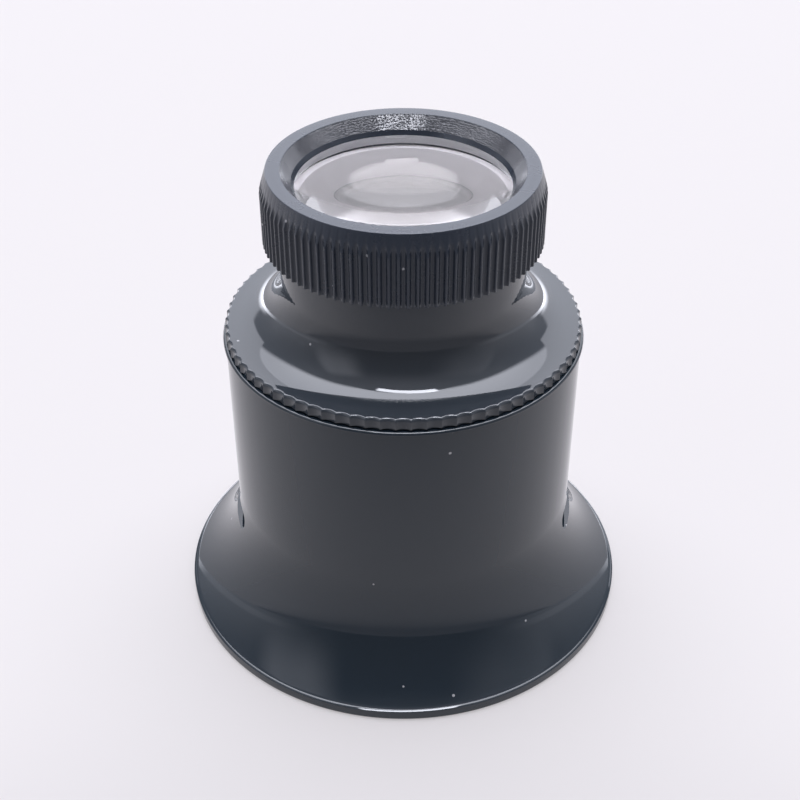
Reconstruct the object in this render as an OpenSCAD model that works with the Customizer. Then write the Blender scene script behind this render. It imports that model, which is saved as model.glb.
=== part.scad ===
// Watchmaker loupe: a flared eyecup, a shoulder cap screwed into it, and a knurled
// head ring that screws on the cap's neck and carries the upper lens.
// The axis of the loupe is +Z, and the eyecup stands on the plane z = 0.

/* [Eyecup] */
// Outside diameter of the eyecup's rim, which seats in the eye socket
rim_d = 38; // [34:0.5:42]
// Height of the rim's upright edge
rim_h = 1.15; // [1:0.05:1.6]
// Rounding of the rim's edges
rim_round = 0.3; // [0.15:0.05:0.4]
// Outside diameter of the barrel
barrel_d = 28.54; // [27.6:0.02:30]
// Height of the barrel's top edge above the rim's foot
barrel_h = 25.62; // [22:0.02:30]
// Height at which the flare runs into the straight barrel
flare_h = 10.5; // [9.5:0.5:12]
// Radius of the flare's hollow curve
flare_r = 12.4; // [11.5:0.1:13]
// Wall of the barrel and flare
cup_wall = 1.6; // [1.2:0.1:1.8]
// Height of the bead round the barrel's top edge
bead_h = 0.3; // [0.2:0.02:0.4]
// How far the bead stands out from the barrel
bead_out = 0.18; // [0.1:0.01:0.2]

/* [Vent slots] */
// Length of each vent slot round the barrel
vent_w = 10; // [6:0.5:12]
// Height of each vent slot
vent_h = 1.8; // [1:0.1:2.4]
// Height of the slots' middle above the rim's foot
vent_z = 8.4; // [7:0.1:12]

/* [Barrel thread] */
// Depth of the cap's spigot in the barrel
spigot_h = 4.2; // [3.4:0.1:5]
// Wall left in the barrel round the threaded mouth
mouth_wall = 1.2; // [1:0.05:1.3]
// Room left for the thread between spigot and barrel, on the radius
thread_room = 0.3; // [0.2:0.05:0.4]
// Wall of the cap's spigot
spigot_wall = 1.4; // [1:0.1:1.8]

/* [Shoulder cap] */
// Dark line left between the barrel's edge and the cap's rim
seat_gap = 0.1; // [0.1:0.05:0.3]
// Outside diameter over the ridges of the scalloped rim
cap_rim_d = 28.48; // [27.6:0.02:29.4]
// Height of the scalloped rim
cap_rim_h = 0.92; // [0.7:0.02:1.4]
// Number of scallops round the rim
scallop_n = 80; // [60:1:96]
// Depth of each scallop
scallop_depth = 0.14; // [0.08:0.01:0.18]
// Radius of each scallop's hollow
scallop_r = 1.2; // [0.9:0.1:2]
// Bevel on the rim's top edge, along the radius
rim_bevel = 0.18; // [0.1:0.01:0.2]
// Width of the flat ring between the rim's bevel and the bell's hollow curve
crown_flat = 0.33; // [0.2:0.01:0.8]
// Thickness of the crown
crown_wall = 1.6; // [1.4:0.1:2]

/* [Neck] */
// Outside diameter of the plain neck
neck_d = 19.3; // [19.2:0.05:19.9]
// Height of the head ring's foot above the cap's rim
neck_show = 7.22; // [6.4:0.02:9]
// Wall of the neck's threaded end
neck_wall = 0.8; // [0.7:0.05:0.95]

/* [Head ring] */
// Outside diameter over the knurl
head_d = 21.64; // [21.4:0.02:23]
// Height of the head ring
head_h = 5.77; // [5.4:0.01:7]
// Height of the outer chamfer
head_chamfer_h = 1.7; // [1:0.1:2]
// Outside diameter of the top face
head_top_d = 20.6; // [20:0.1:20.9]
// Diameter of the mouth in the top face
mouth_d = 18.46; // [18:0.02:19.2]
// Diameter at the foot of the funnel
funnel_d = 16.84; // [16.6:0.02:17.4]
// Depth of the funnel below the top face
funnel_depth = 1.03; // [0.8:0.01:1.2]
// Number of knurl grooves
knurl_n = 100; // [80:1:110]
// Depth of each knurl groove
knurl_depth = 0.27; // [0.15:0.01:0.3]
// Radius of each groove's hollow
knurl_r = 0.24; // [0.18:0.01:0.28]

/* [Lenses] */
// Diameter of both lenses
lens_d = 17; // [16.6:0.05:17.1]
// Running clearance round the lenses and the spacer
lens_play = 0.06; // [0.03:0.01:0.09]
// Gap left face to face in the stack
stack_gap = 0.02; // [0.01:0.01:0.04]
// Depth of the upper lens below the head's top face
lens_depth = 1.42; // [1.3:0.01:1.6]
// Overlap of the lip over the upper lens's edge
lip_over = 0.3; // [0.2:0.01:0.4]
// Depth of the upper lens's seat in the head ring
lens_seat_h = 0.8; // [0.6:0.05:1]
// Edge thickness of the lenses
lens_edge = 2.3; // [1.8:0.1:2.5]
// Radius of the upper lens's curved face, which looks down
upper_lens_r = 17; // [14:0.5:24]
// Radius of the lower lens's curved face, which looks up
lower_lens_r = 17; // [14:0.5:24]
// Bevel ground on the lenses' edges
lens_bevel = 0.2; // [0.1:0.05:0.3]
// Height of the spacer between the lenses
spacer_h = 4.6; // [4.4:0.1:5]
// Wall of the spacer, and of the ledge that holds the stack
spacer_wall = 0.6; // [0.4:0.05:0.7]

/* [Hidden] */
$fn = 96;
over = 1;
rim_r = rim_d / 2;
barrel_r = barrel_d / 2;
bead_r = barrel_r + bead_out;
bead_round = min(bead_h / 2, bead_out);
bore_r = barrel_r - cup_wall;
mouth_r = barrel_r - mouth_wall;
spigot_r = mouth_r - thread_room;
spigot_z = barrel_h - spigot_h;
thread_z = spigot_z - 2 * thread_room;

cap_z = barrel_h + seat_gap;
cap_rim_r = cap_rim_d / 2;
rim_top_z = cap_z + cap_rim_h;
crown_r = cap_rim_r - rim_bevel;
neck_r = neck_d / 2;
bell_r = crown_r - crown_flat - neck_r;

head_z = rim_top_z + neck_show;
head_r = head_d / 2;
head_top_z = head_z + head_h;
lens_r = lens_d / 2;
lens_bore_r = lens_r + lens_play;
neck_thread_r = lens_bore_r + neck_wall;
head_bore_r = neck_thread_r + thread_room;
upper_top_z = head_top_z - lens_depth;
seat_z = upper_top_z - lens_seat_h;
neck_top_z = seat_z - thread_room / 2;

// Drop of a curved face of radius r below its vertex, at distance x from the axis
function sag(r, x) = r - sqrt(r * r - x * x);

spacer_in_r = lens_r - spacer_wall;
upper_edge_z = upper_top_z - lens_edge;
spacer_top_z = upper_edge_z - sag(upper_lens_r, lens_r) + sag(upper_lens_r, spacer_in_r) - stack_gap;
spacer_z = spacer_top_z - spacer_h;
lower_edge_z = spacer_z - sag(lower_lens_r, lens_r) + sag(lower_lens_r, spacer_in_r) - stack_gap;
lower_z = lower_edge_z - lens_edge;
ledge_z = lower_z - stack_gap;

// Sliver outside a rounded corner of a profile; sx and sy point out of the corner
module corner_waste(x, y, r, sx, sy) {
    skin = 0.1;
    difference() {
        translate([x - (sx > 0 ? r : skin), y - (sy > 0 ? r : skin)])
            square(r + skin);
        translate([x - sx * r, y - sy * r])
            circle(r);
    }
}

// Disc with n hollow flutes round its edge
module fluted_disc(r, n, depth, hollow_r) {
    difference() {
        circle(r);
        for (i = [0:n - 1])
            rotate(i * 360 / n)
                translate([r - depth + hollow_r, 0])
                    circle(hollow_r);
    }
}

module eyecup_outline() {
    difference() {
        union() {
            square([barrel_r, barrel_h]);
            translate([0, barrel_h - bead_h])
                square([bead_r, bead_h]);
            square([rim_r, rim_h]);
            difference() {
                square([rim_r, flare_h]);
                translate([barrel_r + flare_r, flare_h])
                    circle(flare_r);
                translate([barrel_r + flare_r, 0])
                    square([flare_r, flare_h + over]);
            }
        }
        corner_waste(rim_r, rim_h, rim_round, 1, 1);
        corner_waste(rim_r, 0, rim_round, 1, -1);
        corner_waste(bead_r, barrel_h, bead_round, 1, 1);
        corner_waste(bead_r, barrel_h - bead_h, bead_round, 1, -1);
    }
}

module eyecup_hollow() {
    translate([0, -over])
        square([bore_r, barrel_h + 2 * over]);
    difference() {
        translate([0, -over])
            square([rim_r, flare_h + over]);
        translate([barrel_r + flare_r, flare_h])
            circle(flare_r + cup_wall);
    }
    translate([0, thread_z])
        square([mouth_r, barrel_h]);
}

module vent_slots() {
    end = vent_h / 2;
    rotate([90, 0, 90])
        linear_extrude(2 * rim_d, center = true)
            translate([0, vent_z])
                union() {
                    square([vent_w - vent_h, vent_h], center = true);
                    for (side = [-1, 1])
                        translate([side * (vent_w / 2 - end), 0])
                            circle(end);
                }
}

// Barrel and trumpet-shaped eyecup, moulded in one piece
module eyecup() {
    color("#34373c")
        difference() {
            rotate_extrude()
                difference() {
                    eyecup_outline();
                    eyecup_hollow();
                }
            vent_slots();
        }
}

// Half section of the cap without its scallops; the bell runs up tangent to the neck
module cap_outline() {
    translate([0, spigot_z])
        square([spigot_r, cap_z - spigot_z]);
    translate([0, cap_z])
        square([crown_r, cap_rim_h]);
    translate([0, cap_z])
        difference() {
            square([neck_r + bell_r, cap_rim_h + bell_r]);
            translate([neck_r + bell_r, cap_rim_h + bell_r])
                circle(bell_r);
        }
    translate([0, rim_top_z])
        square([neck_r, neck_show]);
    translate([0, rim_top_z])
        square([neck_thread_r, neck_top_z - rim_top_z]);
}

module cap_hollow() {
    throat_r = spacer_in_r;
    skirt_r = spigot_r - spigot_wall;
    throat_z = ledge_z - crown_wall;
    polygon([
        [0, spigot_z - over],
        [skirt_r, spigot_z - over],
        [skirt_r, rim_top_z - crown_wall - spigot_wall],
        [throat_r, throat_z],
        [throat_r, ledge_z],
        [lens_bore_r, ledge_z],
        [lens_bore_r, neck_top_z + over],
        [0, neck_top_z + over]
    ]);
}

// Band of scallops round the cap, with a bevel on its top edge
module scalloped_rim() {
    intersection() {
        translate([0, 0, cap_z - over])
            linear_extrude(cap_rim_h + 2 * over)
                fluted_disc(cap_rim_r, scallop_n, scallop_depth, scallop_r);
        rotate_extrude()
            polygon([
                [0, cap_z],
                [cap_rim_r, cap_z],
                [cap_rim_r, rim_top_z - rim_bevel],
                [crown_r, rim_top_z],
                [0, rim_top_z]
            ]);
    }
}

// Bell-shaped cap: spigot, scalloped rim, hollow-curved crown and neck
module shoulder_cap() {
    color("#3a3d43")
        difference() {
            union() {
                rotate_extrude()
                    cap_outline();
                scalloped_rim();
            }
            rotate_extrude()
                cap_hollow();
        }
}

// Half section of a lens that is flat at z = 0 and bulges up to its vertex
module lens_section(curve_r) {
    vertex_z = lens_edge + sag(curve_r, lens_r);
    intersection() {
        polygon([
            [0, 0],
            [lens_r - lens_bevel, 0],
            [lens_r, lens_bevel],
            [lens_r, vertex_z],
            [0, vertex_z]
        ]);
        translate([0, vertex_z - curve_r])
            circle(curve_r, $fn = 240);
    }
}

module lower_lens() {
    color("#c9d6da")
        translate([0, 0, lower_z])
            rotate_extrude()
                lens_section(lower_lens_r);
}

module upper_lens() {
    color("#c9d6da")
        translate([0, 0, upper_top_z])
            mirror([0, 0, 1])
                rotate_extrude()
                    lens_section(upper_lens_r);
}

module lens_spacer() {
    color("#202226")
        translate([0, 0, spacer_z])
            difference() {
                cylinder(r = lens_r, h = spacer_h);
                translate([0, 0, -over])
                    cylinder(r = spacer_in_r, h = spacer_h + 2 * over);
            }
}

// Knurled ring whose grooves run out in the chamfer, with a funnel mouth
module head_ring() {
    lip_r = lens_r - lip_over;
    pocket_r = lens_r + lens_play;
    color("#303338")
        difference() {
            intersection() {
                translate([0, 0, head_z - over])
                    linear_extrude(head_h + 2 * over)
                        fluted_disc(head_r, knurl_n, knurl_depth, knurl_r);
                rotate_extrude()
                    polygon([
                        [0, head_z],
                        [head_r, head_z],
                        [head_r, head_top_z - head_chamfer_h],
                        [head_top_d / 2, head_top_z],
                        [0, head_top_z]
                    ]);
            }
            rotate_extrude()
                polygon([
                    [0, head_z - over],
                    [head_bore_r, head_z - over],
                    [head_bore_r, seat_z],
                    [pocket_r, seat_z],
                    [pocket_r, upper_top_z + stack_gap],
                    [lip_r, upper_top_z + stack_gap],
                    [funnel_d / 2, head_top_z - funnel_depth],
                    [mouth_d / 2, head_top_z],
                    [mouth_d / 2, head_top_z + over],
                    [0, head_top_z + over]
                ]);
        }
}

eyecup();
shoulder_cap();
lower_lens();
lens_spacer();
upper_lens();
head_ring();
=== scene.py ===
import math

import bpy
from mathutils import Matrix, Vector, noise


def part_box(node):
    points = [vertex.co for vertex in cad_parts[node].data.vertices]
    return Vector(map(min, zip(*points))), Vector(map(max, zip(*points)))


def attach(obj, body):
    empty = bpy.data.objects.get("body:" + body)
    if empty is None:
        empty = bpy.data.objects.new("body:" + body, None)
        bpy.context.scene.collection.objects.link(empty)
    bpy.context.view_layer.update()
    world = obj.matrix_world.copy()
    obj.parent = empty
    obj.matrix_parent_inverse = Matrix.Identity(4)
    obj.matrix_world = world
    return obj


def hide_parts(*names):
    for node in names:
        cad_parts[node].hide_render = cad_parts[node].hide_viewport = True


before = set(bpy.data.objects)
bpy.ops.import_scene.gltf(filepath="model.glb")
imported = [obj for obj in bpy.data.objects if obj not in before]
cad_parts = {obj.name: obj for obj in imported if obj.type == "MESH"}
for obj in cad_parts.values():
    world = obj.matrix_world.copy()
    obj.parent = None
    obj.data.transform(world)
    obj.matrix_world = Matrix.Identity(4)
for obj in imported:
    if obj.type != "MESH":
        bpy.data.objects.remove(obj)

MM = 0.001
scene = bpy.context.scene
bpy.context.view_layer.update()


def extent(node):
    """Outer radius, foot and top of a CAD node, in millimetres."""
    lo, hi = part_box(node)
    return [round(v / MM, 4) for v in (hi[0], lo[2], hi[2])]


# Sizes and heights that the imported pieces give, in millimetres
RIM_R, _, BARREL_H = extent("eyecup")
_, SPIGOT_Z, NECK_TOP = extent("shoulder_cap")
_, HEAD_Z, HEAD_TOP = extent("head_ring")
LENS_R, _, UPPER_TOP = extent("upper_lens")
_, LOWER_Z, _ = extent("lower_lens")
_, SPACER_Z, SPACER_TOP = extent("lens_spacer")

# Walls, gaps and threads, in millimetres; a thread's ridge stops short of its wall's ends
CUP_WALL, MOUTH_WALL, SPIGOT_WALL = 1.6, 1.2, 1.4
CROWN_WALL, NECK_WALL, SPACER_WALL = 1.6, 0.8, 0.6
SEAT_GAP, STACK_GAP, LENS_PLAY, LIP_OVER = 0.1, 0.02, 0.06, 0.3
THREAD_ROOM, THREAD_PITCH, THREAD_RIDGE, THREAD_SINK = 0.3, 1.0, 0.2, 0.03
PIN_END, HEAD_FOOT_END, SOCKET_END = 0.5, 0.55, 0.6

# Eyecup
BARREL_R, FLARE_H, FLARE_R = 14.27, 10.5, 12.4
FLARE_X = BARREL_R + FLARE_R
RIM_FACE_H, FLARE_END_R = 0.831, 18.785
LIP_X, LIP_Z, LIP_CURVE, LIP_FROM, LIP_TO = 18.051, -0.929, 2.0, 62.5, 68
BEAD_OUT, BEAD_H, BEAD_OVAL_W, BEAD_OVAL_H = 0.18, 0.3, 0.24, 0.18
BEAD_R = BARREL_R + BEAD_OUT
BORE_R, MOUTH_R = BARREL_R - CUP_WALL, BARREL_R - MOUTH_WALL
MOUTH_Z = SPIGOT_Z - 2 * THREAD_ROOM
VENT_W, VENT_H, VENT_Z = 10.0, 1.8, 8.4
RIM_ROUND, LIP_ROUND, BEAD_ROUND, MOUTH_ROUND = 0.15, 0.03, 0.06, 0.15

# Shoulder cap
SPIGOT_R = MOUTH_R - THREAD_ROOM
SKIRT_R, SKIRT_TOP = SPIGOT_R - SPIGOT_WALL, 23.64
CAP_RIM_R, CAP_RIM_H, CROWN_EDGE, NECK_R = 14.24, 0.92, 0.51, 9.65
CAP_Z = BARREL_H + SEAT_GAP
CAP_RIM_TOP = CAP_Z + CAP_RIM_H
BELL_X = CAP_RIM_R - CROWN_EDGE
BELL_R = BELL_X - NECK_R
POCKET_R, SPACER_IN = LENS_R + LENS_PLAY, LENS_R - SPACER_WALL
NECK_THREAD_R = POCKET_R + NECK_WALL
LEDGE_Z = LOWER_Z - STACK_GAP
THROAT_Z = LEDGE_Z - CROWN_WALL
SCALLOPS = 80
SKIRT_ROUND, SPIGOT_ROUND, CAP_FOOT_ROUND, CAP_RIM_ROUND = 0.1, 0.15, 0.05, 0.26
NECK_ROUND, NECK_TOP_ROUND, POCKET_ROUND = 0.08, 0.2, 0.1

# Head ring
HEAD_R, HEAD_TOP_R, MOUTH_TOP_R, FUNNEL_R = 10.82, 10.3, 9.23, 8.42
CHAMFER_H, FUNNEL_DEPTH, SEAT_DEPTH = 1.7, 1.03, 0.8
CHAMFER_Z, FUNNEL_Z = HEAD_TOP - CHAMFER_H, HEAD_TOP - FUNNEL_DEPTH
HEAD_BORE_R, SEAT_Z = NECK_THREAD_R + THREAD_ROOM, UPPER_TOP - SEAT_DEPTH
HEAD_LIP_R, HEAD_LIP_Z = LENS_R - LIP_OVER, UPPER_TOP + STACK_GAP
KNURLS, TREADS, TREAD_FROM, TREAD_TO, TREAD_DROP = 100, 18, 0.12, 0.98, 0.62
TREAD_SLOPE, SLOPE_SWING, SLOPE_BEAT, TREAD_ROUGH = 38.5, 1.5, 2.4, 0.007
BORE_ROUND, HEAD_FOOT_ROUND, CHAMFER_ROUND, TOP_ROUND, FUNNEL_ROUND = 0.1, 0.06, 0.3, 0.1, 0.06

# Lenses and spacer
LENS_EDGE, LENS_CURVE, LENS_BEVEL, SPACER_ROUND = 2.3, 17.0, 0.2, 0.05

# Fineness of the meshes: points round a piece, per flute and per turn, and degrees per step of a rounding
CUP_POINTS, LENS_POINTS, SPACER_POINTS = 360, 256, 192
POINTS_PER_FLUTE, POINTS_PER_TURN, ROUNDING_STEP = 16, 96, 9


# Mesh helpers
def arc(cx, cz, r, a0, a1, steps):
    """Points of an arc in the half section, angles in degrees."""
    return [(cx + r * math.cos(math.radians(a0 + (a1 - a0) * i / steps)),
             cz + r * math.sin(math.radians(a0 + (a1 - a0) * i / steps)))
            for i in range(steps + 1)]


def line(r0, z0, r1, z1, steps):
    """Inner points of a straight run, without its ends."""
    return [(r0 + (r1 - r0) * i / steps, z0 + (z1 - z0) * i / steps) for i in range(1, steps)]


def rounded(corners):
    """Closed half section; a corner with a third number is rounded by that radius."""
    out = []
    for i, corner in enumerate(corners):
        if len(corner) < 3:
            out.append(corner)
            continue
        radius = corner[2]
        at = Vector(corner[:2])
        before = (Vector(corners[i - 1][:2]) - at).normalized()
        after = (Vector(corners[(i + 1) % len(corners)][:2]) - at).normalized()
        half = before.angle(after) / 2
        reach = radius / math.tan(half)
        centre = at + (before + after).normalized() * (radius / math.sin(half))
        start = at + before * reach - centre
        end = at + after * reach - centre
        turn = math.atan2(start.x * end.y - start.y * end.x, start.dot(end))
        steps = max(3, int(abs(turn) / math.radians(ROUNDING_STEP)))
        for k in range(steps + 1):
            a = turn * k / steps
            out.append((centre.x + start.x * math.cos(a) - start.y * math.sin(a),
                        centre.y + start.x * math.sin(a) + start.y * math.cos(a)))
    return out


def smooth(mesh, angle):
    """Smooth shading that breaks at edges sharper than angle."""
    for face in mesh.polygons:
        face.use_smooth = True
    mesh.set_sharp_from_angle(angle=math.radians(angle))


def add(name, verts, faces, angle=32):
    """Object with a mesh given in millimetres."""
    mesh = bpy.data.meshes.new(name)
    mesh.from_pydata([(x * MM, y * MM, z * MM) for x, y, z in verts], [], faces)
    mesh.update()
    smooth(mesh, angle)
    obj = bpy.data.objects.new(name, mesh)
    scene.collection.objects.link(obj)
    return obj


def revolve(name, section, around, radius=None, angle=32, closed=True):
    """Turns the half section about Z; radius(r, a) may change a point's radius."""
    verts, rings = [], []
    for r, z in section:
        if r < 1e-6:
            rings.append([len(verts)])
            verts.append((0, 0, z))
            continue
        rings.append(list(range(len(verts), len(verts) + around)))
        for i in range(around):
            a = 2 * math.pi * i / around
            q = radius(r, a) if radius else r
            verts.append((q * math.cos(a), q * math.sin(a), z))
    faces = []
    for k in range(len(rings) if closed else len(rings) - 1):
        u, v = rings[k], rings[(k + 1) % len(rings)]
        if len(u) == 1 and len(v) == 1:
            continue
        for i in range(around):
            j = (i + 1) % around
            if len(u) == 1:
                faces.append((u[0], v[j], v[i]))
            elif len(v) == 1:
                faces.append((u[i], u[j], v[0]))
            else:
                faces.append((u[i], u[j], v[j], v[i]))
    return add(name, verts, faces, angle)


def fluted(r_out, count, depth, hollow, soft, follow=0.0):
    """Radius of a disc with hollow flutes round its edge, at angle a; soft rounds the ridges.
    Within follow of the edge the section moves with the flute, and further in it is cut by it."""
    centre = r_out - depth + hollow
    pitch = 2 * math.pi / count

    def radius(r, a):
        if r < r_out - max(2 * depth, follow):
            return r
        d = (a + pitch / 2) % pitch - pitch / 2
        inside = hollow * hollow - (centre * math.sin(d)) ** 2
        if inside <= 0:
            flute = centre * math.cos(d) + abs(centre * math.sin(d)) - hollow
        else:
            flute = centre * math.cos(d) - math.sqrt(inside)
        if follow:
            share = min((r - r_out + follow) / (0.6 * follow), 1.0)
            return r - max(r_out - flute, 0.0) * share
        h = max(soft - abs(r - flute), 0) / soft
        return min(r, flute) - h * h * soft / 4
    return radius


def helix(name, r, height, z0, z1, phase=0.0, base=0.46, crest=0.10):
    """Thread ridge on a wall of radius r; height is negative when it stands inwards. Phase is in turns,
    base and crest are half widths, and both ends fade out over a third of a turn."""
    turns = (z1 - z0) / THREAD_PITCH
    steps = int(turns * POINTS_PER_TURN)
    sink = -math.copysign(THREAD_SINK, height)
    verts, faces = [], []
    for i in range(steps + 1):
        t = i / steps
        a = 2 * math.pi * (turns * t + phase)
        z = z0 + (z1 - z0) * t
        fade = min(1.0, t * turns * 3, (1 - t) * turns * 3)
        h = max(0.001, fade) * height
        half = base * (0.35 + 0.65 * fade)
        for out, up in ((sink, -half), (h, -crest), (h, crest), (sink, half)):
            verts.append(((r + out) * math.cos(a), (r + out) * math.sin(a), z + up))
        if i:
            b = 4 * i
            for k in range(4):
                m = (k + 1) % 4
                quad = (b - 4 + k, b - 4 + m, b + m, b + k)
                faces.append(quad if height < 0 else quad[::-1])
    n = len(verts)
    faces += [(0, 1, 2, 3), (n - 1, n - 2, n - 3, n - 4)]
    return add(name, verts, faces, 40)


# Material helpers
class Tree:
    """Node tree with short calls: node(kind, {input: value or socket}, attribute=value)."""

    def __init__(self, tree):
        self.tree = tree
        tree.nodes.clear()

    def feed(self, node, key, value):
        if isinstance(value, bpy.types.NodeSocket):
            self.tree.links.new(value, node.inputs[key])
        else:
            node.inputs[key].default_value = value

    def node(self, kind, inputs=None, **attributes):
        n = self.tree.nodes.new(kind)
        for key, value in attributes.items():
            setattr(n, key, value)
        for key, value in (inputs or {}).items():
            self.feed(n, key, value)
        return n

    def math(self, operation, a, b=0.0):
        return self.node("ShaderNodeMath", {0: a, 1: b}, operation=operation).outputs[0]

    def product(self, first, *others):
        for other in others:
            first = self.math("MULTIPLY", first, other)
        return first

    def total(self, first, *others):
        for other in others:
            first = self.math("ADD", first, other)
        return first

    def less(self, a, b):
        return self.math("SUBTRACT", a, b)

    def span(self, value, lo, hi, to_lo=0.0, to_hi=1.0):
        """Smooth step from to_lo, where value is lo, to to_hi, where it is hi."""
        return self.node("ShaderNodeMapRange", {0: value, 1: lo, 2: hi, 3: to_lo, 4: to_hi},
                         interpolation_type="SMOOTHSTEP").outputs[0]

    def rise(self, value, lo, hi):
        return self.span(value, lo, hi)

    def fall(self, value, lo, hi):
        return self.span(value, lo, hi, 1.0, 0.0)

    def window(self, value, rise_from, rise_to, fall_from, fall_to):
        return self.product(self.rise(value, rise_from, rise_to), self.fall(value, fall_from, fall_to))

    def noise(self, where, scale, detail=3.0, rough=0.5):
        return self.node("ShaderNodeTexNoise", {"Vector": where, "Scale": scale,
                                                "Detail": detail, "Roughness": rough}).outputs[0]

    def mix(self, share, a, b):
        n = self.node("ShaderNodeMix", data_type="RGBA")
        for key, value in ((0, share), (6, a), (7, b)):
            self.feed(n, key, value)
        return n.outputs[2]

    def surface(self, shader, output="ShaderNodeOutputMaterial"):
        self.node(output, {"Surface": shader.outputs[0]})


def material(name):
    """New material, its tree, and the place on the object in metres."""
    m = bpy.data.materials.new(name)
    m.use_nodes = True
    t = Tree(m.node_tree)
    return m, t, t.node("ShaderNodeTexCoord").outputs["Object"]


# Grain of the surfaces, in features per metre
BROAD, PEEL, SPECKS, FINE, SMEAR, GROUND = 160, 520, 480.0, 2600, 300, 4200
DUST_COLOUR, DUST_EDGE, DUST_RARE = (0.55, 0.55, 0.57, 1), (0.045, 0.06), (0.62, 0.64)
# Height of full relief in metres, on plastic and on ground glass
RELIEF, GROUND_RELIEF = 0.00002, 0.00001


def plastic(name, base, rough, rough_spread=0.01, orange=0.02, grain=0.0, dust=0.9):
    """Moulded plastic: slight orange peel, uneven gloss and a few dust specks."""
    m, t, where = material(name)
    broad = t.noise(where, BROAD, 2)
    fine = t.noise(where, FINE, 3, 0.6)
    peel = t.noise(where, PEEL, 2)
    gloss = t.total(t.span(broad, 0.3, 0.7, rough - rough_spread, rough + rough_spread),
                    t.span(fine, 0.35, 0.75, -0.005, 0.01))
    specks = t.node("ShaderNodeTexVoronoi", {"Vector": where, "Scale": SPECKS, "Randomness": 1.0})
    lot = t.node("ShaderNodeSeparateColor", {0: specks.outputs["Color"]}).outputs[0]
    dusty = t.product(t.fall(specks.outputs["Distance"], *DUST_EDGE), t.rise(lot, *DUST_RARE), dust)
    height = t.total(t.product(peel, orange), t.product(fine, grain))
    bump = t.node("ShaderNodeBump", {"Strength": 1.0, "Distance": RELIEF, "Height": height})
    t.surface(t.node("ShaderNodeBsdfPrincipled", {
        "Base Color": t.mix(dusty, (*base, 1), DUST_COLOUR), "Roughness": gloss,
        "IOR": 1.54, "Normal": bump.outputs[0]}))
    return m


def glass(name):
    """Polished clear glass with a faint smear."""
    m, t, where = material(name)
    smear = t.span(t.noise(where, SMEAR, 3), 0.55, 0.8, 0.0, 0.012)
    t.surface(t.node("ShaderNodeBsdfPrincipled", {
        "Base Color": (0.995, 0.972, 0.966, 1), "Roughness": smear, "IOR": 1.523,
        "Transmission Weight": 1.0, "Specular Tint": (0.93, 0.88, 0.84, 1)}))
    return m


def ground_glass(name):
    """Edge of a lens as the grinding wheel leaves it."""
    m, t, where = material(name)
    fine = t.noise(where, GROUND, 4, 0.7)
    bump = t.node("ShaderNodeBump", {"Strength": 0.6, "Distance": GROUND_RELIEF, "Height": fine})
    t.surface(t.node("ShaderNodeBsdfPrincipled", {
        "Base Color": (0.93, 0.93, 0.94, 1), "Roughness": 0.55, "IOR": 1.5,
        "Transmission Weight": 0.05, "Normal": bump.outputs[0]}))
    return m


cup_mat = plastic("cup_gloss", (0.016, 0.0265, 0.038), 0.035)
# Near-black plastic, lightened by painted light: the cap's base stands in for light that reaches its crown
# under the head ring
cap_lightened_mat = plastic("cap_gloss_painted_light", (0.048, 0.057, 0.069), 0.04)
head_mat = plastic("head_satin", (0.034, 0.043, 0.061), 0.26, rough_spread=0.04, grain=0.25)
funnel_mat = plastic("head_turned", (0.082, 0.084, 0.096), 0.08, rough_spread=0.02)
# Painted light: the spacer's pale colour stands in for the bright light seen through the lenses
spacer_painted_light_mat = plastic("spacer_painted_bright", (0.74, 0.71, 0.73), 0.5, rough_spread=0.05, orange=0.0,
                    grain=0.2, dust=0.0)
glass_mat = glass("lens_glass_clear")
edge_mat = ground_glass("lens_edge_ground")


def dress(obj, mat, body, slot, *nodes):
    """Gives a piece its material and its body, and hides the nodes that it stands for; slot is not used."""
    obj.data.materials.append(mat)
    if nodes:
        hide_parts(*nodes)
    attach(obj, body)
    return obj


# Eyecup
def cup_section():
    """Half section from the foot up the outside, over the beaded mouth and down the bore."""
    flare_from = math.degrees(math.acos((FLARE_X - FLARE_END_R) / FLARE_R)) - 180
    inner_r = FLARE_R + CUP_WALL
    bead_z = BARREL_H - BEAD_H
    bead_top = [(BEAD_R - BEAD_OVAL_W * (1 - c), BARREL_H - BEAD_OVAL_H * (1 - s))
                for c, s in arc(0, 0, 1, 0, 90, 10)]
    return rounded([
        (RIM_R, 0.0, RIM_ROUND), (RIM_R, RIM_FACE_H, LIP_ROUND),
        *arc(LIP_X, LIP_Z, LIP_CURVE, LIP_FROM, LIP_TO, 6),
        *arc(FLARE_X, FLARE_H, FLARE_R, flare_from, -180, 44),
        *line(BARREL_R, FLARE_H, BARREL_R, BARREL_H - 0.4, 8),
        (BARREL_R, bead_z), (BEAD_R, bead_z, BEAD_ROUND), *bead_top,
        (MOUTH_R, BARREL_H, MOUTH_ROUND), (MOUTH_R, MOUTH_Z), (BORE_R, MOUTH_Z),
        *line(BORE_R, MOUTH_Z, BORE_R, FLARE_H, 5),
        *arc(FLARE_X, FLARE_H, inner_r, 180, 180 + math.degrees(math.asin(FLARE_H / inner_r)), 30)])


def slot_cutter():
    """Long bar with round sides, right through both vents along X."""
    half, end, reach = (VENT_W - VENT_H) / 2, VENT_H / 2, 25
    outline = [(half + y, z) for y, z in arc(0, 0, end, -90, 90, 18)]
    outline += [(-y, -z) for y, z in outline]
    n = len(outline)
    verts = [(x, y, VENT_Z + z) for x in (-reach, reach) for y, z in outline]
    faces = [tuple(range(n))[::-1], tuple(range(n, 2 * n))]
    faces += [(i, (i + 1) % n, n + (i + 1) % n, n + i) for i in range(n)]
    return add("slot_tool", verts, faces)


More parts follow.
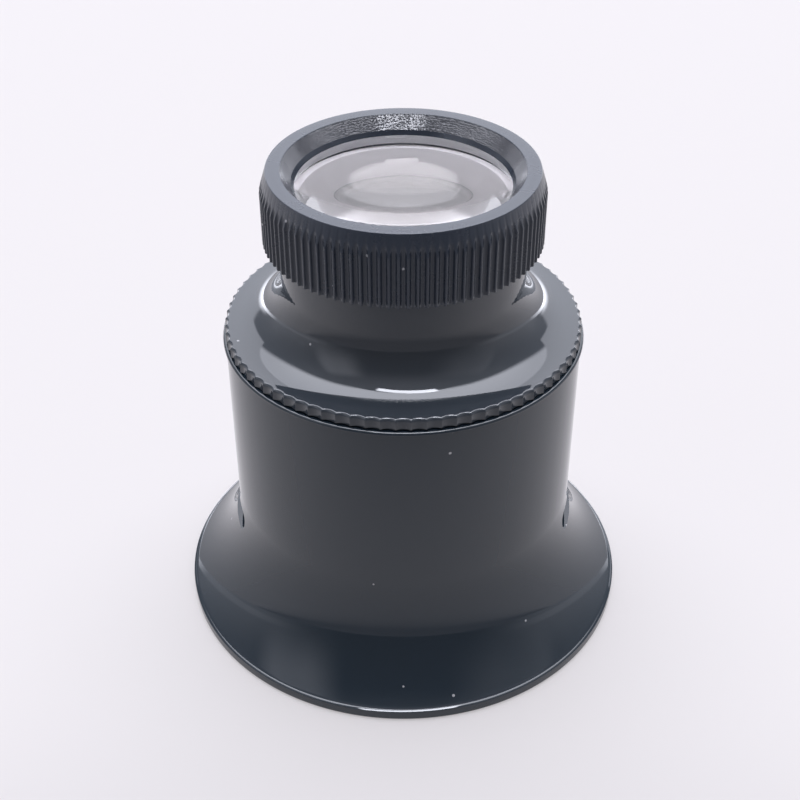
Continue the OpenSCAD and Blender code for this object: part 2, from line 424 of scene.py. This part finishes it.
def cut_slots(obj):
    """Cuts the two vents through the flare."""
    tool = slot_cutter()
    cut = obj.modifiers.new("slots", "BOOLEAN")
    cut.operation, cut.solver, cut.object = "DIFFERENCE", "EXACT", tool
    evaluated = obj.evaluated_get(bpy.context.evaluated_depsgraph_get())
    mesh = bpy.data.meshes.new_from_object(evaluated)
    obj.modifiers.clear()
    old, obj.data = obj.data, mesh
    bpy.data.meshes.remove(old)
    bpy.data.objects.remove(tool)
    smooth(mesh, 32)


def shade_flare(mesh, from_z=6.0, alike=0.96):
    """Gives the faces round the slots the curved shading that the flare has without them."""
    normals = [Vector(corner.vector) for corner in mesh.corner_normals]
    for face in mesh.polygons:
        for i in face.loop_indices:
            place = mesh.vertices[mesh.loops[i].vertex_index].co / MM
            if not from_z < place.z < FLARE_H:
                continue
            r = math.hypot(place.x, place.y)
            away = Vector((place.x / r, place.y / r, 0))
            normal = (away * (FLARE_X - r) + Vector((0, 0, FLARE_H - place.z))).normalized()
            for side in (1, -1):
                if face.normal.dot(normal * side) > alike:
                    normals[i] = normal * side
    mesh.normals_split_custom_set([n[:] for n in normals])


cup = revolve("eyecup_shell", cup_section(), CUP_POINTS)
cut_slots(cup)
shade_flare(cup.data)
dress(cup, cup_mat, "eyecup", "cup_plastic", "eyecup")
dress(helix("barrel_thread", MOUTH_R, -THREAD_RIDGE, MOUTH_Z + SOCKET_END, BARREL_H - SOCKET_END, 0.5),
      cup_mat, "eyecup", "cup_plastic")


# Shoulder cap
def cap_section():
    """Half section from the spigot's foot up the outside, over the neck and down the bore."""
    spigot = rounded([
        (SKIRT_R, SPIGOT_Z, SKIRT_ROUND), (SPIGOT_R, SPIGOT_Z, SPIGOT_ROUND), (SPIGOT_R, CAP_Z),
        (CAP_RIM_R, CAP_Z, CAP_FOOT_ROUND), (CAP_RIM_R, CAP_RIM_TOP, CAP_RIM_ROUND),
        (BELL_X, CAP_RIM_TOP)])[:-1]
    bell_top = CAP_RIM_TOP + BELL_R
    crown = arc(BELL_X, bell_top, BELL_R, -90, -180, 60) + line(NECK_R, bell_top, NECK_R, HEAD_Z, 3)
    neck = rounded([
        crown[-1], (NECK_R, HEAD_Z, NECK_ROUND), (NECK_THREAD_R, HEAD_Z),
        (NECK_THREAD_R, NECK_TOP, NECK_TOP_ROUND), (POCKET_R, NECK_TOP, POCKET_ROUND),
        (POCKET_R, LEDGE_Z), (SPACER_IN, LEDGE_Z), (SPACER_IN, THROAT_Z), (SKIRT_R, SKIRT_TOP)])[1:]
    return spigot + crown + neck


cap = revolve("shoulder_cap_shell", cap_section(), SCALLOPS * POINTS_PER_FLUTE,
              fluted(CAP_RIM_R, SCALLOPS, depth=0.14, hollow=1.2, soft=0.02, follow=0.4))
dress(cap, cap_lightened_mat, "shoulder_cap", "cap_plastic", "shoulder_cap")
dress(helix("neck_thread", NECK_THREAD_R, THREAD_RIDGE, HEAD_Z + HEAD_FOOT_END, NECK_TOP - PIN_END),
      cap_lightened_mat, "shoulder_cap", "cap_plastic")
dress(helix("spigot_thread", SPIGOT_R, THREAD_RIDGE, SPIGOT_Z + PIN_END, CAP_Z - PIN_END),
      cap_lightened_mat, "shoulder_cap", "cap_plastic")


# Head ring
def funnel_steps():
    """Turned treads down the funnel, each with its own slope."""
    steps = []
    for i in range(TREADS):
        r0, r1 = (MOUTH_TOP_R + (FUNNEL_R - MOUTH_TOP_R) * (i + share) / TREADS
                  for share in (TREAD_FROM, TREAD_TO))
        z0 = HEAD_TOP + (FUNNEL_Z - HEAD_TOP) * (i + TREAD_DROP) / TREADS
        slope = math.radians(TREAD_SLOPE + SLOPE_SWING * math.sin(SLOPE_BEAT * i))
        steps += [(r0, z0), (r1, z0 - (r0 - r1) * math.tan(slope))]
    return steps


def head_section():
    """Half section from the foot up the knurl, over the top, down the funnel and the bore."""
    above_foot = (HEAD_R, HEAD_Z + 1)
    foot = rounded([(HEAD_BORE_R, HEAD_Z, BORE_ROUND), (HEAD_R, HEAD_Z, HEAD_FOOT_ROUND), above_foot])[:-1]
    knurl = line(HEAD_R, HEAD_Z, HEAD_R, CHAMFER_Z, 6)
    shoulder = rounded([above_foot, (HEAD_R, CHAMFER_Z, CHAMFER_ROUND), (HEAD_TOP_R, HEAD_TOP)])[1:-1]
    chamfer = [p for p in line(HEAD_R, CHAMFER_Z, HEAD_TOP_R, HEAD_TOP, 44) if p[1] > CHAMFER_Z + 0.06]
    top = rounded([(HEAD_R, CHAMFER_Z), (HEAD_TOP_R, HEAD_TOP, TOP_ROUND),
                   (MOUTH_TOP_R, HEAD_TOP, FUNNEL_ROUND), (FUNNEL_R, FUNNEL_Z)])[1:-1]
    bore = [(FUNNEL_R, FUNNEL_Z), (HEAD_LIP_R, HEAD_LIP_Z), (POCKET_R, HEAD_LIP_Z), (POCKET_R, SEAT_Z),
            (HEAD_BORE_R, SEAT_Z)]
    return foot + knurl + shoulder + chamfer[:22] + top + funnel_steps() + bore


def roughen_funnel(mesh, per_radian=55.0, per_mm=14.0):
    """Moves the turned steps up and down a little, as a cutter leaves them."""
    for vertex in mesh.vertices:
        r, z = math.hypot(vertex.co.x, vertex.co.y) / MM, vertex.co.z / MM
        if FUNNEL_Z + 0.01 < z < HEAD_TOP - 0.07 and FUNNEL_R < r < MOUTH_TOP_R:
            a = math.atan2(vertex.co.y, vertex.co.x)
            vertex.co.z += TREAD_ROUGH * MM * noise.noise((a * per_radian, z * per_mm, r * per_mm))


head = revolve("head_ring_shell", head_section(), KNURLS * POINTS_PER_FLUTE,
               fluted(HEAD_R, KNURLS, depth=0.27, hollow=0.24, soft=0.07))
roughen_funnel(head.data)
dress(head, head_mat, "head_ring", "head_plastic", "head_ring")
head.data.materials.append(funnel_mat)
for face in head.data.polygons:
    centre = face.center / MM
    if FUNNEL_Z < centre.z < HEAD_TOP - 0.08 and math.hypot(centre.x, centre.y) < MOUTH_TOP_R:
        face.material_index = 1
dress(helix("head_thread", HEAD_BORE_R, -THREAD_RIDGE, HEAD_Z + HEAD_FOOT_END, SEAT_Z - SOCKET_END, 0.5),
      head_mat, "head_ring", "head_plastic")


# Lenses and spacer
def lens(name, z_flat, side, body, node):
    """Plano-convex lens with its flat face at z_flat and its bulge towards side, 1 up or -1 down."""
    rings = 60
    foot_r = LENS_R - LENS_BEVEL
    vertex = LENS_EDGE + LENS_CURVE - math.sqrt(LENS_CURVE ** 2 - LENS_R ** 2)
    widest = math.asin(LENS_R / LENS_CURVE)
    section = [(0.0, 0.0)] + line(0, 0, foot_r, 0, 12) + [(foot_r, 0.0), (LENS_R, LENS_BEVEL)]
    section += line(LENS_R, LENS_BEVEL, LENS_R, LENS_EDGE, 3)
    for i in range(rings + 1):
        a = widest * (1 - i / rings)
        section.append((LENS_CURVE * math.sin(a), vertex - LENS_CURVE * (1 - math.cos(a))))
    section = [(r, z_flat + side * z) for r, z in section][::side]
    obj = revolve(name, section, LENS_POINTS, angle=24, closed=False)
    dress(obj, glass_mat, body, "lens_glass", node)
    obj.data.materials.append(edge_mat)
    for face in obj.data.polygons:
        centre = face.center / MM
        if math.hypot(centre.x, centre.y) > foot_r and abs(face.normal.z) < 0.8:
            face.material_index = 1


lens("upper_lens_glass", UPPER_TOP, -1, "upper_optics", "upper_lens")
lens("lower_lens_glass", LOWER_Z, 1, "lower_optics", "lower_lens")
spacer_section = rounded([(r, z, SPACER_ROUND) for r, z in (
    (SPACER_IN, SPACER_Z), (LENS_R, SPACER_Z), (LENS_R, SPACER_TOP), (SPACER_IN, SPACER_TOP))])
dress(revolve("lens_spacer_tube", spacer_section, SPACER_POINTS), spacer_painted_light_mat, "lower_optics",
      "spacer_plastic", "lens_spacer")

# Table: half its width and its drop below the foot in millimetres, its glow, and the stretch of Y in
# metres over which painted shade darkens it towards the camera to a share of its light
TABLE_HALF, TABLE_DROP, TABLE_GLOW = 1500, 0.02, 0.36
TABLE_SHADE_Y, TABLE_SHADE_SHARE = (-0.085, -0.015), 0.25
# The second colour here is painted shade, on the part of the table nearest the camera
TABLE_TINT, TABLE_SHADE_COLOUR = (1.0, 0.965, 0.985, 1), (0.14, 0.14, 0.15, 1)
TABLE_DARK, TABLE_LIGHT = (0.41, 0.39, 0.385, 1), (0.43, 0.41, 0.405, 1)


def make_table():
    """White table that glows a little, so that the shadow stays thin; painted shade darkens it towards the
    front.
    """
    corners = ((-1, -1), (1, -1), (1, 1), (-1, 1))
    obj = add("floor", [(TABLE_HALF * x, TABLE_HALF * y, -TABLE_DROP) for x, y in corners], [(0, 1, 2, 3)])
    m, t, where = material("floor_white")
    y = t.node("ShaderNodeSeparateXYZ", {0: where}).outputs[1]
    # Painted shade: towards the camera the table darkens and glows less
    far = t.span(y, *TABLE_SHADE_Y, TABLE_SHADE_SHARE, 1.0)
    tone = t.span(t.noise(where, 40, 2), 0.3, 0.7, 0.985, 1.0)
    colour = t.mix(far, TABLE_SHADE_COLOUR, t.mix(tone, TABLE_DARK, TABLE_LIGHT))
    matt = t.node("ShaderNodeBsdfPrincipled", {"Base Color": colour, "Roughness": 0.75,
                                               "Specular IOR Level": 0.2})
    glow = t.node("ShaderNodeEmission", {"Color": TABLE_TINT, "Strength": t.product(far, TABLE_GLOW)})
    t.surface(t.node("ShaderNodeAddShader", {0: matt.outputs[0], 1: glow.outputs[0]}))
    obj.data.materials.append(m)


# Mirrored room. Places on its ceiling are in units of the ceiling's height, and directions in degrees:
# el above the horizon, az from the far side, and side as az without its sign. Levels are radiances.
# Two numbers are a soft edge, and four are the edges where a light rises and falls.
CEILING_LEVEL, CEILING_HALF, CEILING_SOFT, CEILING_TAPER = (6.8, 4.0), 0.95, 0.12, 0.46
CEILING_FRONT, BACK_EDGE, BACK_BOW, BACK_SOFT = (-0.13, -0.11), 0.95, 0.12, 0.02
TUBE_LEVEL, TUBE_X, TUBE_Y, TUBE_LEAN = 19.0, 0.02, -0.175, 0.15
TUBE_HALF_WIDTH, TUBE_HALF_LENGTH = (0.045, 0.06), (0.20, 0.23)
WALL_LEVEL, WALL_TOP, WALL_SOFT, WALL_REACH = (1.0, 2.55), 46.0, 2.0, (35.0, 42.0)
WALL_WIDENS_FROM, WALL_WIDENS = 20.0, 1.1
SIDES_LEVEL, SIDES_AZ, SIDES_EL = 0.34, (88.0, 125.0), (46.0, 66.0)
DIM_LEVEL, DIM_EL = (0.18, 0.75), (36.0, 70.0)
GLOW_LEVEL, GLOW_AZ, GLOW_EL = 3.6, (14.0, 24.0, 33.0, 46.0), (2.5, 8.0)
HAZE_LEVEL, HAZE_AZ, HAZE_EL = 0.32, (42.0, 60.0, 105.0, 150.0), (0.0, 30.0)
LINE_LEVEL, LINE_LEVEL_AZ, LINE_AZ = (3.0, 0.25), (42.0, 58.0), (22.0, 32.0, 90.0, 130.0)
LINE_EL, LINE_EL_AZ, LINE_HALF = (0.6, 4.5), (45.0, 110.0), (1.3, 2.3)
PATCH_EL, LEFT_PATCH, LEFT_AZ = (0.0, 36.0, 44.0, 58.0), 1.0, (-150.0, -126.0, -112.0, -98.0)
RIGHT_PATCH, RIGHT_AZ = 0.4, (95.0, 105.0, 125.0, 160.0)
MATT_SHARE, SEEN_LEVEL = 0.5, 0.9
ROOM_TINT, SEEN_TINT = (0.94, 0.96, 1.06, 1), (1.0, 0.975, 1.02, 1)


class Room(Tree):
    """World tree that knows where its ray looks."""

    def __init__(self, tree):
        super().__init__(tree)
        ray = self.node("ShaderNodeTexCoord").outputs["Generated"]
        x, y, z = self.node("ShaderNodeSeparateXYZ", {0: ray}).outputs
        self.el = self.product(self.math("ARCSINE", z), 180 / math.pi)
        self.az = self.product(self.math("ARCTAN2", x, y), 180 / math.pi)
        self.side = self.math("ABSOLUTE", self.az)
        height = self.math("MAXIMUM", z, 0.05)
        self.px, self.py = self.math("DIVIDE", x, height), self.math("DIVIDE", y, height)
        self.above = self.rise(z, 0.1, 0.2)
        self.past_back = self.less(self.py, self.total(self.product(self.px, self.px, BACK_BOW), BACK_EDGE))

    def ceiling(self):
        """Lit ceiling that narrows towards the front and ends in a bowed edge behind."""
        taper = self.math("POWER", self.math("MAXIMUM", self.less(1.0, self.py), 0.0), 3.0)
        past_side = self.total(self.less(self.math("ABSOLUTE", self.px), CEILING_HALF),
                               self.product(taper, CEILING_TAPER))
        return self.product(self.fall(past_side, -CEILING_SOFT, CEILING_SOFT),
                            self.fall(self.past_back, -BACK_SOFT, BACK_SOFT),
                            self.rise(self.py, *CEILING_FRONT), self.above,
                            self.span(self.py, 0.0, 1.0, *CEILING_LEVEL))

    def tube(self):
        """One bright lamp, a little askew, in front of the lit ceiling."""
        across = self.less(self.less(self.py, self.product(self.px, TUBE_LEAN)), TUBE_Y)
        along = self.less(self.px, TUBE_X)
        return self.product(self.fall(self.math("ABSOLUTE", across), *TUBE_HALF_WIDTH),
                            self.fall(self.math("ABSOLUTE", along), *TUBE_HALF_LENGTH),
                            self.above, TUBE_LEVEL)

    def wall(self):
        """Pale wall behind, up to the ceiling's edge and wider towards its top."""
        over = self.math("MAXIMUM", self.less(self.el, WALL_WIDENS_FROM), 0.0)
        reach = self.total(self.product(over, WALL_WIDENS), self.span(self.az, -5.0, 5.0, *WALL_REACH))
        return self.product(self.fall(self.less(self.side, reach), -WALL_SOFT, WALL_SOFT),
                            self.span(self.el, 0.0, WALL_TOP, *WALL_LEVEL),
                            self.rise(self.past_back, -BACK_SOFT, BACK_SOFT))

    def sides(self):
        """Dim side walls."""
        return self.product(self.span(self.side, *SIDES_AZ, SIDES_LEVEL, 0.0), self.fall(self.el, *SIDES_EL))

    def dim(self):
        """Dim light from all round, stronger overhead."""
        return self.span(self.el, *DIM_EL, *DIM_LEVEL)

    def glow(self):
        """Bright strip low behind, on both sides of the wall's middle."""
        return self.product(self.window(self.side, *GLOW_AZ), self.span(self.el, *GLOW_EL, GLOW_LEVEL, 0.0))

    def haze(self):
        """Faint light low at the sides."""
        return self.product(self.window(self.side, *HAZE_AZ), self.span(self.el, *HAZE_EL, HAZE_LEVEL, 0.0))

    def horizon(self):
        """Thin line just above the table's far edge, higher and fainter towards the sides."""
        off = self.less(self.el, self.span(self.side, *LINE_EL_AZ, *LINE_EL))
        return self.product(self.fall(self.math("ABSOLUTE", off), *LINE_HALF),
                            self.window(self.side, *LINE_AZ),
                            self.span(self.side, *LINE_LEVEL_AZ, *LINE_LEVEL))

    def patch(self, azimuths, level):
        """Soft pale patch at middle height."""
        return self.product(self.window(self.az, *azimuths), self.window(self.el, *PATCH_EL), level)


def make_room():
    """Room that the polish mirrors. Mirrored it has its full strength, on matt surfaces less."""
    world = bpy.data.worlds.new("room")
    scene.world = world
    world.use_nodes = True
    t = Room(world.node_tree)
    level = t.total(t.ceiling(), t.tube(), t.wall(), t.sides(), t.dim(), t.glow(), t.haze(), t.horizon(),
                    t.patch(LEFT_AZ, LEFT_PATCH), t.patch(RIGHT_AZ, RIGHT_PATCH))
    ray = t.node("ShaderNodeLightPath").outputs
    seen = ray["Is Camera Ray"]
    level = t.product(level, t.span(ray["Is Glossy Ray"], 0.0, 1.0, MATT_SHARE, 1.0))
    level = t.total(t.product(level, t.less(1.0, seen)), t.product(seen, SEEN_LEVEL))
    t.surface(t.node("ShaderNodeBackground", {"Color": t.mix(seen, ROOM_TINT, SEEN_TINT), "Strength": level}),
              "ShaderNodeOutputWorld")


# Camera as fitted to the photograph: sensor and focal length in millimetres, place in metres
SENSOR, FOCAL, SHIFT_X, CLIP = 36.0, 59.515, -0.00425, (0.005, 10.0)
CAMERA_PLACE, CAMERA_TILT = (0, -0.08937, 0.08401), 53.536


def make_camera():
    camera = bpy.data.objects.new("camera", bpy.data.cameras.new("camera"))
    scene.collection.objects.link(camera)
    camera.data.sensor_width = SENSOR
    camera.data.lens = FOCAL
    camera.data.shift_x = SHIFT_X
    camera.data.clip_start, camera.data.clip_end = CLIP
    camera.location = CAMERA_PLACE
    camera.rotation_euler = (math.radians(CAMERA_TILT), 0, 0)
    scene.camera = camera


make_table()
make_room()
make_camera()
scene.view_settings.view_transform = "Standard"
scene.cycles.max_bounces = 24
scene.cycles.transmission_bounces = 24
scene.cycles.glossy_bounces = 12
